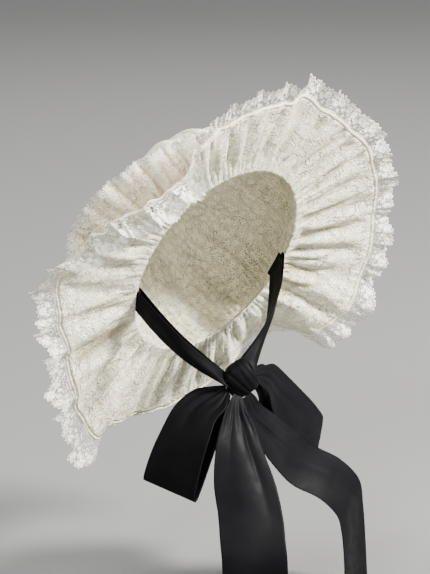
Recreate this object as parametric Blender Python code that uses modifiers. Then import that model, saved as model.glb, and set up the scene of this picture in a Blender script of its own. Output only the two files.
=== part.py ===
"""Gathered cloth sunbonnet: brim, crown, frill, lace ruffles and a ribbon tied in a bow.

Lengths below are in millimetres and angles in degrees; meshes are made in metres.
The wearer faces -Y, the wearer's left is +X and +Z is up. The origin is the seat of the
head, midway between the two places where the ribbon is sewn in. Angles round the hat run
from the top of the opening towards the wearer's right.
"""

import math
from collections import namedtuple

import bmesh
import bpy
from mathutils import Vector

MM = 0.001
GAP = 0.3

# The face opening is an ellipse in a plane that leans forward at its top.
OPEN_HALF_WIDTH = 99.5
OPEN_HALF_HEIGHT = 113.5
OPEN_RISE = 33.5
OPEN_LEAN = 24.5

# Brim: a flat band beside the seam, then a gathered sheet out to the corded edge.
COLUMNS = 144
BRIM_WALL = 2.0
SEAM_BAND = 10.0
LEAN_RAMP = 20.0
BRIM_STEPS = (0.0, 0.3, 0.68, 1.0)
GATHER_DEPTH = 2.3
GATHER_FADE = 22.0
CORD_RADIUS = 2.0
LACE_WALL = 1.0
LACE_CLEAR = 0.5
LACE_TURN_CLEAR = 0.6
LACE_ROWS = 2
FLUTE_DEPTH = 6.5

# Crown: rings from the seam to the middle of the back.
CROWN_COLUMNS = 72
CROWN_WALL = 2.0
CROWN_PLEAT = 2.6

# Frill that stands between the crown and the brim, with a narrow lace edging.
FRILL_COLUMNS = 120
FRILL_WALL = 1.8
FRILL_SEAT = 8.0
FRILL_FLUTE = 5.5
FRILL_PUFF = 6.0
EDGING_WIDTH = 10.0

# Ribbon and bow.
RIBBON_WIDTH = 65.0
RIBBON_WALL = 1.0
TIE_FOLD_WIDTH = 28.0
TIE_FOLD_DEPTH = 5.0
TIE_ANGLE = 104.0
KNOT_CENTRE = (0.0, -52.0, -88.0)
KNOT_HALF = (16.5, 13.0, 20.0)
END_CLEAR = 0.45

# Round the brim: its width, how far it leans back (minus is forward), and the same for
# the lace ruffle beyond the cord.
Station = namedtuple("Station", "angle width lean lace_width lace_lean")
BRIM = [
    Station(0, 74, 1, 20, 0),
    Station(18, 68, 1, 22, 0),
    Station(28, 65, -3, 26, -30),
    Station(37, 68, -22, 27, -100),
    Station(46, 82, -25, 28, -112),
    Station(54, 90, -19, 28, -112),
    Station(62, 92, -10, 28, -108),
    Station(72, 84, 4, 27, -92),
    Station(80, 87, 8, 26, -25),
    Station(87, 93, 10, 26, 12),
    Station(98, 87, 3, 24, 5),
    Station(110, 81, -6, 23, -2),
    Station(118, 78, 7, 22, 6),
    Station(126, 88, -9, 24, -6),
    Station(138, 101, -6, 27, -4),
    Station(148, 113, -14, 29, -16),
    Station(157, 95, -5, 26, 55),
    Station(168, 87, -1, 25, 104),
    Station(180, 91, 3, 25, 98),
    Station(195, 84, 4, 25, 30),
    Station(208, 73, 4, 26, 6),
    Station(218, 84, 18, 26, 16),
    Station(226, 84, 14, 26, 12),
    Station(236, 106, -17, 27, -24),
    Station(246, 114, -20, 27, -26),
    Station(260, 111, -13, 25, -14),
    Station(280, 102, -6, 24, -6),
    Station(300, 93, -5, 22, -4),
    Station(320, 80, -4, 22, -2),
    Station(335, 78, -1, 22, 0),
    Station(344, 85, 4, 22, 3),
    Station(351, 76, 2, 21, 0),
]

# Round the frill: how far its edge reaches out from the opening and how far back it is.
Reach = namedtuple("Reach", "angle out back")
FRILL = [
    Reach(0, 40, 36),
    Reach(20, 40, 36),
    Reach(35, 47, 42),
    Reach(50, 54, 48),
    Reach(65, 62, 53),
    Reach(78, 65, 53),
    Reach(90, 58, 47),
    Reach(105, 44, 40),
    Reach(180, 42, 38),
    Reach(255, 44, 40),
    Reach(300, 46, 40),
    Reach(340, 40, 36),
]

# Crown rings: offset out from the opening, distance back, share of the pleat depth.
Ring = namedtuple("Ring", "out back pleat")
CROWN = [
    Ring(2.0, 1.65, 0.0),
    Ring(11.0, 30.0, 1.0),
    Ring(8.0, 58.0, 1.0),
    Ring(-10.0, 86.0, 1.0),
    Ring(-42.0, 109.0, 0.7),
    Ring(-80.0, 122.0, 0.4),
]
CROWN_DEPTH = 126.0

# Ribbon ties: where each meets the knot, and how far its middle sags on the way there.
Tie = namedtuple("Tie", "name side lift_x lift_y lift_z sag_x sag_y sag_z")
TIES = [
    Tie("tie_right", 1, -0.95, 0.15, 0.02, -6.0, -5.5, -4.0),
    Tie("tie_left", -1, -0.62, 0.12, 0.62, -6.7, -5.4, 0.9),
]

# Ribbon sections: middle of each section and the direction across it, knot end first.
# A loop goes out through its sections and comes back beside them, open by its fullness.
Section = namedtuple("Section", "x y z across_x across_y across_z width")
LOOP_OPEN = 5.0
LOOP_FULL = {"bow_loop_right": 9.0, "bow_loop_left": 6.0}
LOOPS = {
    "bow_loop_right": [
        Section(-22, -44, -101, 0, -19, -7, 20),
        Section(-35, -42, -107, 7, -34, -9, 36),
        Section(-47, -42, -119, 13, -48, -7, 50),
        Section(-60, -45, -136, 14, -56, -2, 58),
        Section(-74, -46, -159, 17, -61, -1, 63),
        Section(-90, -48, -188, 17, -62, -9, 65),
    ],
    "bow_loop_left": [
        Section(29, -49, -89, -6, -13, -19, 24),
        Section(46, -42, -103, -22, -16, -26, 38),
        Section(65, -35, -126, -38, -19, -27, 50),
        Section(86, -36, -153, -44, -22, -31, 58),
        Section(102, -41, -173, -46, -32, -33, 65),
        Section(119, -44, -192, -42, -36, -34, 65),
    ],
}
TAILS = {
    "bow_tail_front": [
        Section(-10, -67, -111, 26, -4, -10, 26),
        Section(-18, -77, -126, 45, -14, -10, 42),
        Section(-28, -87, -145, 49, -20, -8, 52),
        Section(-36, -103, -177, 57, -33, -6, 64),
        Section(-43, -120, -205, 56, -41, -4, 66),
        Section(-53, -135, -224, 56, -41, 0, 66),
        Section(-58, -144, -243, 56, -41, 0, 66),
        Section(-59, -146, -272, 56, -41, 0, 66),
        Section(-59, -145, -316, 56, -41, 0, 66),
    ],
    "bow_tail_side": [
        Section(11, -60, -112, 17, 7, 8, 20),
        Section(17, -63, -129, 26, 15, 12, 32),
        Section(32, -67, -149, 37, 17, 16, 44),
        Section(49, -72, -172, 49, 19, 20, 56),
        Section(69, -77, -193, 56, 26, 21, 65),
        Section(96, -88, -212, 55, 27, 22, 65),
        Section(114, -97, -235, 57, 25, 18, 65),
        Section(118, -100, -259, 59, 27, 6, 65),
        Section(119, -103, -292, 59, 27, -5, 65),
        Section(118, -107, -334, 59, 26, -8, 65),
    ],
}

CREAM = (0.78, 0.71, 0.58, 1.0)
LACE_WHITE = (0.86, 0.82, 0.73, 1.0)
BLUSH_CREAM = (0.80, 0.71, 0.60, 1.0)
BLACK = (0.012, 0.012, 0.014, 1.0)

LEAN = math.radians(OPEN_LEAN)
PLANE_UP = Vector((0.0, -math.sin(LEAN), math.cos(LEAN)))
PLANE_SIDE = Vector((-1.0, 0.0, 0.0))
PLANE_BACK = Vector((0.0, math.cos(LEAN), math.sin(LEAN)))


def clear_scene():
    """Remove every object, so the script starts from nothing."""
    for item in list(bpy.data.objects):
        bpy.data.objects.remove(item, do_unlink=True)


def ease(value):
    """Smooth step from 0 to 1."""
    value = min(1.0, max(0.0, value))
    return value * value * (3.0 - 2.0 * value)


def read_round(table, angle, column):
    """Value of a column at an angle, eased between the rows on either side."""
    angle = angle % 360.0
    for index, row in enumerate(table):
        following = table[(index + 1) % len(table)]
        end = following.angle if following.angle > row.angle else following.angle + 360.0
        if row.angle <= angle < end:
            share = ease((angle - row.angle) / (end - row.angle))
            return getattr(row, column) * (1.0 - share) + getattr(following, column) * share
    return getattr(table[0], column)


def uneven(count, index):
    """Angle of a column: even steps made a little irregular, as hand gathers are."""
    turn = math.tau * index / count
    turn += 0.028 * math.sin(3.0 * turn + 0.7) + 0.014 * math.sin(7.0 * turn + 2.1)
    return math.degrees(turn)


def fold_sign(index):
    """Rise and fall of a fold over four columns."""
    return (0.0, 1.0, 0.0, -1.0)[index % 4]


def vary(index, speed, amount):
    """Slow change from fold to fold."""
    return 1.0 + amount * math.sin(speed * (index // 4) + 0.9)


def outward(angle):
    """Direction in the plane of the opening, away from its middle."""
    turn = math.radians(angle)
    return PLANE_SIDE * math.sin(turn) + PLANE_UP * math.cos(turn)


def ring_point(angle, out, back):
    """Point beside the opening: out from its edge and back from its plane."""
    turn = math.radians(angle)
    side = (OPEN_HALF_WIDTH + out) * math.sin(turn)
    rise = OPEN_RISE + (OPEN_HALF_HEIGHT + out) * math.cos(turn)
    return PLANE_SIDE * side + PLANE_UP * rise + PLANE_BACK * back


def lean_length(out):
    """Length of the brim that takes part in its lean at a distance out."""
    past = out - SEAM_BAND
    if past <= 0.0:
        return 0.0
    if past < LEAN_RAMP:
        return past * past / (2.0 * LEAN_RAMP)
    return past - LEAN_RAMP / 2.0


def brim_point(angle, out):
    """Point of the smooth brim, before its gathers."""
    lean = math.radians(read_round(BRIM, angle, "lean"))
    leaning = lean_length(out)
    flat = out - (1.0 - math.cos(lean)) * leaning
    return ring_point(angle, flat, math.sin(lean) * leaning)


def turned(angle, lean):
    """Direction that leans back from the outward one, and the normal behind it."""
    lean = math.radians(lean)
    out = outward(angle)
    along = out * math.cos(lean) + PLANE_BACK * math.sin(lean)
    behind = PLANE_BACK * math.cos(lean) - out * math.sin(lean)
    return along, behind


def cloth(name, colour, roughness):
    """Plain material of one piece."""
    made = bpy.data.materials.new(name)
    made.use_nodes = True
    shader = made.node_tree.nodes["Principled BSDF"]
    shader.inputs["Base Color"].default_value = colour
    shader.inputs["Roughness"].default_value = roughness
    shader.inputs["Metallic"].default_value = 0.0
    return made


def place(name, data, collection, material):
    """Put a new object with its material in the hat's collection."""
    data.materials.append(material)
    made = bpy.data.objects.new(name, data)
    collection.objects.link(made)
    return made


def sheet(name, rows, closed, wall, collection, material, pole=None):
    """Shell from rows of points: an open surface thickened by Solidify."""
    mesh = bpy.data.meshes.new(name)
    work = bmesh.new()
    grid = [[work.verts.new(point * MM) for point in row] for row in rows]
    count = len(rows[0])
    steps = count if closed else count - 1
    for lower, upper in zip(grid, grid[1:]):
        for index in range(steps):
            after = (index + 1) % count
            work.faces.new((lower[index], lower[after], upper[after], upper[index]))
    if pole is not None:
        tip = work.verts.new(pole * MM)
        last = grid[-1]
        for index in range(steps):
            work.faces.new((last[index], last[(index + 1) % count], tip))
    bmesh.ops.recalc_face_normals(work, faces=work.faces)
    work.to_mesh(mesh)
    work.free()
    made = place(name, mesh, collection, material)
    thicken = made.modifiers.new("wall", "SOLIDIFY")
    thicken.thickness = wall * MM
    thicken.offset = 0.0
    return made


def brim_rows():
    """Gathered brim, from the seam to the corded edge."""
    rows = []
    for step in (None,) + BRIM_STEPS:
        row = []
        for index in range(COLUMNS):
            angle = uneven(COLUMNS, index)
            width = read_round(BRIM, angle, "width")
            out = 0.0 if step is None else SEAM_BAND + (width - SEAM_BAND) * step
            rise = ease((out - SEAM_BAND) / 14.0) * ease((width - out) / GATHER_FADE)
            depth = GATHER_DEPTH * rise * fold_sign(index) * vary(index, 1.9, 0.35)
            lean = read_round(BRIM, angle, "lean") * ease(out / 30.0)
            behind = turned(angle, lean)[1]
            row.append(brim_point(angle, out) + behind * depth)
        rows.append(row)
    return rows


def edge_frame(index):
    """Point on the brim's edge and the direction square to the edge, away from the brim."""
    angle = uneven(COLUMNS, index)
    edge = []
    for near in (index - 1, index, index + 1):
        beside = uneven(COLUMNS, near)
        edge.append(brim_point(beside, read_round(BRIM, beside, "width")))
    along = turned(angle, read_round(BRIM, angle, "lean"))[0]
    run = (edge[2] - edge[0]).normalized()
    across = (along - run * along.dot(run)).normalized()
    return edge[1], across


def make_cord(collection, material):
    """Corded edge: a closed round curve just beyond the brim."""
    curve = bpy.data.curves.new("brim_cord", "CURVE")
    curve.dimensions = "3D"
    curve.bevel_depth = CORD_RADIUS * MM
    curve.bevel_resolution = 1
    curve.use_fill_caps = False
    line = curve.splines.new("POLY")
    line.points.add(COLUMNS - 1)
    for index in range(COLUMNS):
        edge, along = edge_frame(index)
        middle = edge + along * (GAP + CORD_RADIUS)
        line.points[index].co = (middle.x * MM, middle.y * MM, middle.z * MM, 1.0)
    line.use_cyclic_u = True
    return place("brim_cord", curve, collection, material)


def lace_rows():
    """Fluted lace ruffle beyond the cord."""
    rows = []
    for step in range(LACE_ROWS + 1):
        share = step / LACE_ROWS
        row = []
        for index in range(COLUMNS):
            angle = uneven(COLUMNS, index)
            edge, along = edge_frame(index)
            lean = read_round(BRIM, angle, "lean")
            lace_lean = read_round(BRIM, angle, "lace_lean")
            bend = ease(share / 0.5)
            turn = lean + (lace_lean - lean) * (0.35 + 0.65 * bend)
            direction, behind = turned(angle, turn)
            clear = LACE_CLEAR + LACE_TURN_CLEAR * min(1.0, abs(lace_lean - lean) / 50.0)
            start = edge + along * (GAP + 2.0 * CORD_RADIUS + clear)
            width = read_round(BRIM, angle, "lace_width") * vary(index, 2.7, 0.12)
            wave = FLUTE_DEPTH * share * fold_sign(index) * vary(index, 1.3, 0.4)
            row.append(start + direction * (width * share) + behind * wave)
        rows.append(row)
    return rows


def crown_rows():
    """Pleated crown rings, from the seam to near the middle of the back."""
    rows = []
    for ring in CROWN:
        row = []
        for index in range(CROWN_COLUMNS):
            angle = uneven(CROWN_COLUMNS, index)
            pleat = CROWN_PLEAT * ring.pleat * fold_sign(index) * vary(index, 2.2, 0.3)
            row.append(ring_point(angle, ring.out + pleat, ring.back))
        rows.append(row)
    return rows


def frill_point(index, share, extra):
    """Point of the frill: share of the way from its seat to its edge, plus a length."""
    angle = uneven(FRILL_COLUMNS, index)
    seat = Vector((FRILL_SEAT, BRIM_WALL / 2.0 + GAP + 0.95))
    edge = Vector((read_round(FRILL, angle, "out"), read_round(FRILL, angle, "back")))
    run = edge - seat
    length = run.length
    run.normalize()
    front = Vector((run.y, -run.x))
    place_at = seat + run * (length * share + extra)
    puff = FRILL_PUFF * math.sin(math.pi * min(1.0, share)) * ease(share * 2.0)
    flute = FRILL_FLUTE * ease(share) * fold_sign(index) * vary(index, 1.7, 0.45)
    place_at += front * (puff + flute)
    return ring_point(angle, place_at.x, place_at.y)


def frill_rows(first, last, steps, start_extra, end_extra):
    """Rows of the frill or of its edging."""
    rows = []
    for step in range(steps + 1):
        part = step / steps
        share = first + (last - first) * part
        extra = start_extra + (end_extra - start_extra) * part
        rows.append([frill_point(i, share, extra) for i in range(FRILL_COLUMNS)])
    return rows


def knot_point(direction, clear):
    """Point just off the knot's skin in a direction from its middle."""
    direction = Vector(direction).normalized()
    scaled = Vector([direction[i] / KNOT_HALF[i] for i in range(3)])
    return Vector(KNOT_CENTRE) + direction * (1.0 / scaled.length + clear)


def make_knot(collection, material):
    """Wrapped knot: a rounded pillow with a shallow crossing fold."""
    mesh = bpy.data.meshes.new("bow_knot")
    work = bmesh.new()
    bmesh.ops.create_uvsphere(work, u_segments=14, v_segments=8, radius=1.0)
    for vert in work.verts:
        crease = 0.02 * math.cos(3.0 * math.atan2(vert.co.x, vert.co.y) + 2.5 * vert.co.z)
        size = 0.98 + crease * (1.0 - vert.co.z * vert.co.z)
        vert.co = Vector([vert.co[i] * KNOT_HALF[i] * size * MM for i in range(3)])
    work.to_mesh(mesh)
    work.free()
    made = place("bow_knot", mesh, collection, material)
    made.location = Vector(KNOT_CENTRE) * MM
    return made


def fold_path(share):
    """Place across a ribbon folded in half: position along the fold's width and depth."""
    half = TIE_FOLD_DEPTH / 2.0
    if share <= 0.45:
        return share / 0.45, half
    if share >= 0.55:
        return (1.0 - share) / 0.45, -half
    swing = (share - 0.45) / 0.1 * math.pi
    return 1.0 + 0.08 * math.sin(swing), half * math.cos(swing)


def tie_rows(tie):
    """Folded ribbon from inside the seam to the knot; side is 1 for the wearer's right."""
    across = (0.0, 0.22, 0.45, 0.5, 0.55, 0.78, 1.0)
    start_turn = math.degrees(TIE_FOLD_WIDTH / OPEN_HALF_HEIGHT)
    rows = []
    for back in (9.0, -1.5):
        row = []
        for share in across:
            along, deep = fold_path(share)
            angle = TIE_ANGLE + start_turn * (along - 0.5)
            inward = GAP + RIBBON_WALL / 2.0 + TIE_FOLD_DEPTH / 2.0 - deep
            row.append(ring_point(angle, -inward - 0.1, back))
        rows.append(row)
    ends = []
    for share in across:
        along, deep = fold_path(share)
        lift = Vector((tie.lift_x, tie.lift_y, tie.lift_z))
        spread = Vector((0.45, 0.7, 0.6)) * (0.55 - along) + Vector((-0.2, -0.4, 0.1)) * (deep / 9.0)
        ends.append(knot_point(lift + spread, END_CLEAR + 0.3))
    last = rows[-1]
    sag = Vector((tie.sag_x, tie.sag_y, tie.sag_z))
    for step in range(1, 7):
        part = step / 6.0
        bulge = sag * math.sin(math.pi * part)
        rows.append([a.lerp(b, part) + bulge for a, b in zip(last, ends)])
    return [[Vector((p.x * tie.side, p.y, p.z)) for p in row] for row in rows]


def read_sections(sections, place):
    """Middle, direction across and width at a place between two sections."""
    index = min(int(place), len(sections) - 2)
    share = place - index
    near, far = sections[index], sections[index + 1]
    mixed = [a + (b - a) * share for a, b in zip(near, far)]
    return Vector(mixed[:3]), Vector(mixed[3:6]).normalized(), mixed[6]


def loop_rows(sections, full):
    """Ribbon that leaves the knot, turns at the loop's end and comes back."""
    centre = Vector(KNOT_CENTRE)
    last = len(sections) - 1
    steps = 16
    rows = []
    for step in range(steps + 1):
        phase = math.pi * step / steps
        reach = math.sin(phase)
        open_by = math.cos(phase) * (LOOP_OPEN + full * reach)
        place = last * reach
        middle, across, width = read_sections(sections, place)
        ahead = read_sections(sections, min(last, place + 0.5))[0]
        along = (ahead - read_sections(sections, max(0.0, place - 0.5))[0]).normalized()
        face = along.cross(across).normalized()
        row = []
        for side in (-1.0, -0.33, 0.33, 1.0):
            if step in (0, steps):
                heading = middle - centre + face * open_by + across * (side * 7.5)
                row.append(knot_point(heading, END_CLEAR))
                continue
            row.append(middle + face * open_by + across * (side * width / 2.0))
        rows.append(row)
    return rows


def tail_rows(sections):
    """Ribbon tail through its sections, with a soft lengthwise wave."""
    rows = []
    for number, section in enumerate(sections):
        middle = Vector((section.x, section.y, section.z))
        across = Vector((section.across_x, section.across_y, section.across_z)).normalized()
        row = []
        for side in (-1.0, -0.33, 0.33, 1.0):
            if number == 0:
                heading = middle - Vector(KNOT_CENTRE) + across * (side * section.width * 0.38)
                row.append(knot_point(heading, END_CLEAR))
            else:
                row.append(middle + across * (side * section.width / 2.0))
        rows.append(row)
    return rows


def build():
    """Make every piece of the hat."""
    clear_scene()
    hat = bpy.data.collections.new("gathered_sunbonnet")
    bpy.context.scene.collection.children.link(hat)
    brim_cloth = cloth("cream_jacquard", CREAM, 0.8)
    frill_cloth = cloth("blush_cotton", BLUSH_CREAM, 0.82)
    cord_cloth = cloth("cream_binding", (0.80, 0.75, 0.62, 1.0), 0.7)
    lace_cloth = cloth("white_lace", LACE_WHITE, 0.85)
    satin = cloth("black_satin", BLACK, 0.35)

    sheet("brim", brim_rows(), True, BRIM_WALL, hat, brim_cloth)
    make_cord(hat, cord_cloth)
    sheet("brim_lace", lace_rows(), True, LACE_WALL, hat, lace_cloth)
    middle = PLANE_UP * OPEN_RISE + PLANE_BACK * CROWN_DEPTH
    sheet("crown", crown_rows(), True, CROWN_WALL, hat, brim_cloth, middle)
    frill = frill_rows(0.0, 1.0, 2, 0.0, -EDGING_WIDTH)
    sheet("crown_frill", frill, True, FRILL_WALL, hat, frill_cloth)
    edging = frill_rows(1.0, 1.0, 1, 0.5 - EDGING_WIDTH, 0.0)
    sheet("crown_frill_lace", edging, True, LACE_WALL, hat, lace_cloth)

    for tie in TIES:
        sheet(tie.name, tie_rows(tie), False, RIBBON_WALL, hat, satin)
    make_knot(hat, satin)
    for name, sections in LOOPS.items():
        sheet(name, loop_rows(sections, LOOP_FULL[name]), False, RIBBON_WALL, hat, satin)
    for name, sections in TAILS.items():
        sheet(name, tail_rows(sections), False, RIBBON_WALL, hat, satin)


build()
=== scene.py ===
"""Picture of the gathered sunbonnet: cloth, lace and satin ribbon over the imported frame.

Lengths are in millimetres and angles in degrees until a mesh is made, in metres. Angles
round the hat run from the top of the face opening towards the wearer's right. The forms
repeat the ones of the part's source at a finer step, with the gathers, creases, lace
holes and ribbon folds that are too small for it.
"""

import math
from collections import namedtuple

import bpy
import numpy as np
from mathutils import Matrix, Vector


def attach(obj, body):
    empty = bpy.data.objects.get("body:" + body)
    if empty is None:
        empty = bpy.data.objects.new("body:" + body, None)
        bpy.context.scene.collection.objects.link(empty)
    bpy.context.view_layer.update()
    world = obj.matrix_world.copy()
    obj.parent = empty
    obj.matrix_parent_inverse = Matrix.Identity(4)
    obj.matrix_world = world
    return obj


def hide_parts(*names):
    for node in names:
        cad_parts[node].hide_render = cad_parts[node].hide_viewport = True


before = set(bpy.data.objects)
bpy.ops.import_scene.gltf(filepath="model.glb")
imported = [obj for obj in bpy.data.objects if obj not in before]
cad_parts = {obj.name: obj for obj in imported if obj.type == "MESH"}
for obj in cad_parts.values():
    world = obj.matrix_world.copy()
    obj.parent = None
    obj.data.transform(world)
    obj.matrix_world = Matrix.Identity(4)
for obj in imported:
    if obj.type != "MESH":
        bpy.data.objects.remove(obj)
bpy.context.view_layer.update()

MM = 0.001
GAP = 0.3
OPEN_HALF_WIDTH = 99.5
OPEN_HALF_HEIGHT = 113.5
OPEN_RISE = 33.5
OPEN_LEAN = 24.5
COLUMNS = 144
BRIM_FLAT_LENGTH = 1140
BRIM_FLAT_WIDTH = 92
EDGE_LENGTH = 1200
INNER_LENGTH = 900
SEAM_BAND = 10
LEAN_RAMP = 20
GATHER_DEPTH = 2.3
GATHER_FADE = 22
CORD_RADIUS = 2
LACE_TURN_CLEAR = 0.6
LACE_TUCK = 0.7
FLUTE_DEPTH = 7.6
CROWN_COLUMNS = 72
CROWN_PLEAT = 2.6
CROWN_DEPTH = 126
FRILL_COLUMNS = 120
FRILL_FLAT_LENGTH = 980
FRILL_FLAT_WIDTH = 58
FRILL_SEAT = 8
FRILL_SEAT_BACK = 2.25
FRILL_FLUTE = 5.5
FRILL_PUFF = 6
EDGING_WIDTH = 10
RIBBON_WIDTH = 65
RIBBON_WALL = 1
TIE_FOLD_WIDTH = 28
TIE_FOLD_DEPTH = 5
TIE_ANGLE = 104
TIE_STEPS = 72
LOOP_STEPS = 144
LOOP_OPEN = 5
LOOP_FULL = {"bow_loop_right": 9, "bow_loop_left": 6}
TAIL_STEPS = 170
KNOT_CENTRE = np.array((0, -52, -88))
KNOT_HALF = np.array((16.5, 13, 20))
END_CLEAR = 0.45
WRAP_TILT = 40
WRAP_LIFT = 1.4
WRAP_HALF = 13.2
WRAP_ASIDE = 3.4

# Round the brim: its width, how far it leans back (minus is forward), and the same for lace.
Station = namedtuple("Station", "angle width lean lace_width lace_lean")
BRIM = [Station(*row) for row in (
    (0, 74, 1, 20, 0),
    (18, 68, 1, 22, 0),
    (28, 65, -3, 26, -30),
    (37, 68, -22, 27, -100),
    (46, 82, -25, 28, -112),
    (54, 90, -19, 28, -112),
    (62, 92, -10, 28, -108),
    (72, 84, 4, 27, -92),
    (80, 87, 8, 26, -25),
    (87, 93, 10, 26, 12),
    (98, 87, 3, 24, 5),
    (110, 81, -6, 23, -2),
    (118, 78, 7, 22, 6),
    (126, 88, -9, 24, -6),
    (138, 101, -6, 27, -4),
    (148, 113, -14, 29, -16),
    (157, 95, -5, 26, 55),
    (168, 87, -1, 25, 104),
    (180, 91, 3, 25, 98),
    (195, 84, 4, 25, 30),
    (208, 73, 4, 26, 6),
    (218, 84, 18, 26, 16),
    (226, 84, 14, 26, 12),
    (236, 106, -17, 27, -24),
    (246, 114, -20, 27, -26),
    (260, 111, -13, 25, -14),
    (280, 102, -6, 24, -6),
    (300, 93, -5, 22, -4),
    (320, 80, -4, 22, -2),
    (335, 78, -1, 22, 0),
    (344, 85, 4, 22, 3),
    (351, 76, 2, 21, 0),
)]

# Edge of the frill: how far it stands out from the opening and back from its plane.
Reach = namedtuple("Reach", "angle out back")
FRILL = [Reach(*row) for row in (
    (0, 40, 36),
    (20, 40, 36),
    (35, 47, 42),
    (50, 54, 48),
    (65, 62, 53),
    (78, 65, 53),
    (90, 58, 47),
    (105, 44, 40),
    (180, 42, 38),
    (255, 44, 40),
    (300, 46, 40),
    (340, 40, 36),
)]

# Rings of the crown from the seam to the middle of the back, with the strength of its pleats.
Ring = namedtuple("Ring", "out back pleat")
CROWN = [
    Ring(2, 1.65, 0),
    Ring(11, 30, 1),
    Ring(8, 58, 1),
    Ring(-10, 86, 1),
    Ring(-42, 109, 0.7),
    Ring(-80, 122, 0.4),
    Ring(2 - OPEN_HALF_WIDTH, CROWN_DEPTH - 0.6, 0.1),
]

# Ribbon ties: where each meets the knot, and how far its middle sags on the way there.
Tie = namedtuple("Tie", "name side lift sag")
TIES = [
    Tie("tie_right", 1, (-0.95, 0.15, 0.02), (-6, -5.5, -4)),
    Tie("tie_left", -1, (-0.62, 0.12, 0.62), (-6.7, -5.4, 0.9)),
]

# Ribbon sections: middle of each section and the direction across it, knot end first.
# A loop goes out through its sections and comes back beside them, open by its fullness.
Section = namedtuple("Section", "x y z across_x across_y across_z width")
LOOPS = {
    "bow_loop_right": (
        (-20, -47, -102, 2, -20, -9, 27),
        (-33, -44, -108, 8, -34, -11, 42),
        (-47, -42, -119, 13, -48, -7, 50),
        (-60, -45, -136, 14, -56, -2, 58),
        (-74, -46, -159, 17, -61, -1, 63),
        (-90, -48, -188, 17, -62, -9, 65),
    ),
    "bow_loop_left": (
        (29, -49, -89, -6, -13, -19, 24),
        (46, -42, -103, -22, -16, -26, 38),
        (65, -35, -126, -38, -19, -27, 50),
        (86, -36, -153, -44, -22, -31, 58),
        (102, -41, -173, -46, -32, -33, 65),
        (119, -44, -192, -42, -36, -34, 65),
    ),
}
TAILS = {
    "bow_tail_front": (
        (-14, -64, -110, 22, -8, -13, 22),
        (-21, -75, -126, 42, -14, -11, 38),
        (-29, -86, -145, 49, -20, -8, 50),
        (-36, -103, -177, 57, -33, -6, 64),
        (-43, -120, -205, 56, -41, -4, 66),
        (-53, -135, -224, 56, -41, 0, 66),
        (-58, -144, -243, 56, -41, 0, 66),
        (-59, -146, -272, 56, -41, 0, 66),
        (-59, -145, -316, 56, -41, 0, 66),
    ),
    "bow_tail_side": (
        (7, -57, -112, 20, 6, 8, 26),
        (14, -60, -129, 27, 14, 12, 38),
        (30, -65, -149, 37, 17, 16, 48),
        (49, -72, -172, 49, 19, 20, 56),
        (69, -77, -193, 56, 26, 21, 65),
        (96, -88, -212, 55, 27, 22, 65),
        (114, -97, -235, 57, 25, 18, 65),
        (118, -100, -259, 59, 27, 6, 65),
        (119, -103, -292, 59, 27, -5, 65),
        (118, -107, -334, 59, 26, -8, 65),
    ),
}

# Folds of a ribbon near the knot: place across it at the knot, drift across it on the way
# out, how far out it runs, its depth and its width, all as shares but the depth.
Pleat = namedtuple("Pleat", "at drift reach depth width")
PLEATS = {
    "bow_loop_right": (
        (-0.62, -0.1, 0.42, 2.6, 0.1),
        (-0.15, -0.1, 0.62, 3.6, 0.12),
        (0.2, 0.05, 0.36, 2.2, 0.09),
        (0.6, 0.05, 0.5, 2.8, 0.11),
    ),
    "bow_loop_left": (
        (-0.6, 0.05, 0.42, 2.2, 0.1),
        (-0.05, -0.1, 0.62, 3.2, 0.12),
        (0.45, -0.05, 0.46, 2.6, 0.1),
    ),
    "bow_tail_front": (
        (-0.66, -0.05, 0.2, 2.4, 0.09),
        (-0.3, -0.12, 0.3, 2.6, 0.1),
        (0.02, 0.06, 0.22, 2.2, 0.08),
        (0.34, 0.22, 0.46, 6, 0.11),
        (0.74, 0.04, 0.22, 2.4, 0.08),
    ),
    "bow_tail_side": (
        (-0.55, 0.1, 0.3, 2.4, 0.1),
        (-0.1, 0.15, 0.52, 3.2, 0.12),
        (0.35, 0.15, 0.34, 2.6, 0.1),
        (0.75, 0.05, 0.22, 2, 0.08),
    ),
}

# Creases of the band round the knot: place across it, drift along it, depth and width.
BandCrease = namedtuple("BandCrease", "at drift depth width")
BAND_CREASES = [
    BandCrease(-0.45, 0.12, 1.3, 0.1),
    BandCrease(0.15, -0.08, 0.9, 0.12),
    BandCrease(0.62, 0.05, 0.8, 0.09),
]

LEAN = math.radians(OPEN_LEAN)
PLANE_UP = np.array((0, -math.sin(LEAN), math.cos(LEAN)))
PLANE_SIDE = np.array((-1, 0, 0))
PLANE_BACK = np.array((0, math.cos(LEAN), math.sin(LEAN)))

# Camera: its angle and distance, the size of a pixel there and where it aims, in pixels.
AZIMUTH = -40
ELEVATION = 18
DISTANCE = 2.2
PIXEL = 1.03e-3
FRAME_HEIGHT = 574
SENSOR = 36
AIM_RIGHT = 8
AIM_DOWN = 1


def view_vectors():
    """Directions to the right, up and towards the camera."""
    turn, rise = math.radians(AZIMUTH), math.radians(ELEVATION)
    right = np.array((math.cos(turn), math.sin(turn), 0))
    front = np.array((math.sin(turn) * math.cos(rise), -math.cos(turn) * math.cos(rise), math.sin(rise)))
    return right, np.cross(front, right), front


def place_aimed(data, place, direction):
    """Camera or lamp at a place, looking in a direction."""
    made = bpy.data.objects.new(data.name, data)
    made.location = place
    made.rotation_euler = Vector(direction).to_track_quat("-Z", "Y").to_euler()
    bpy.context.scene.collection.objects.link(made)
    return made


def set_camera():
    """Camera at the photograph's angle."""
    right, up, front = view_vectors()
    lens = bpy.data.cameras.new("camera")
    lens.lens = SENSOR * DISTANCE / (FRAME_HEIGHT * PIXEL)
    place = (AIM_RIGHT * right - AIM_DOWN * up) * PIXEL + front * DISTANCE
    bpy.context.scene.camera = place_aimed(lens, place, -front)


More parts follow.
